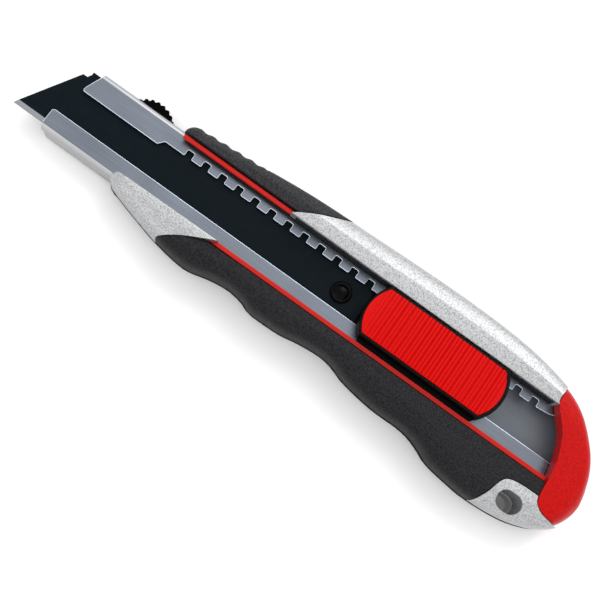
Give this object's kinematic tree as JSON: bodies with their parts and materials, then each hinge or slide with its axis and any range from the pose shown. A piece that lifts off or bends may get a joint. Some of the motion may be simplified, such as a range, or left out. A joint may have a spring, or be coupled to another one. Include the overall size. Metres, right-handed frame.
{
  "type": "utility knife",
  "caption": "Snap-off utility knife with a steel rail, black blade, ribbed thumb slider, blade clamp wheel, finger-shaped grip and pull-off end cap.",
  "frame": {"origin": "middle of the knife's outline, blade drawn out as at rest, on the plane it lies on", "axes": "+X from the blade tip to the end cap, +Y to the thumb side, +Z out of the front face that shows the slider"},
  "size_m": [0.1719, 0.0404, 0.0152],
  "materials": {
    "steel": "satin",
    "black_steel": "satin black oxide",
    "black_nylon": "fine matte",
    "gloss_black": "gloss",
    "black_rubber": "fine pebbled",
    "silver": "silver paint, fine pebbled",
    "red": "semi-gloss"
  },
  "bodies": {
    "handle": {"handle_core": "black_nylon", "channel_rail": "steel", "upper_grip": "black_rubber", "bridge_cover": "silver", "nose_wedge": "silver", "lower_grip": "black_rubber", "lanyard_corner": "silver", "upper_accent_strip": "red", "lower_accent_strip": "red", "clamp_bush": "steel"},
    "carrier": {"blade_carrier": "black_nylon", "blade": "black_steel", "blade_peg": "gloss_black", "lock_spring": "steel", "spring_rivet": "steel"},
    "slider": {"slider_frame": "black_nylon", "slider_pad": "red"},
    "clamp_shoe": {"clamp_pad": "steel"},
    "clamp_knob": {"clamp_wheel": "black_nylon", "clamp_screw": "steel"},
    "rear_cap": {"end_cap": "red"}
  },
  "joints": [
    {"name": "blade_feed", "type": "slide", "parent": "handle", "child": "carrier", "axis": [1, 0, 0], "range_m": [-0.055, 0.01], "deforming": ["lock_spring"]},
    {"name": "thumb_release", "type": "slide", "parent": "carrier", "child": "slider", "axis": [1, 0, 0], "range_m": [-0.0015, 0.0015], "stiffness_N_per_m": 400},
    {"name": "clamp_press", "type": "slide", "parent": "handle", "child": "clamp_shoe", "axis": [0, 0, 1], "range_m": [-0.0005, 0]},
    {"name": "clamp_turn", "type": "hinge", "parent": "clamp_shoe", "child": "clamp_knob", "pos_m": [-0.0574, 0.0104, 0.002], "axis": [0, 0, 1], "range_deg": [-360, 0]},
    {"name": "cap_pull", "type": "slide", "parent": "handle", "child": "rear_cap", "axis": [1, 0, 0], "range_m": [0, 0.025]}
  ],
  "couplings": [
    {"joint": "clamp_turn", "follows": "clamp_press", "rad_per_m": 12566}
  ]
}
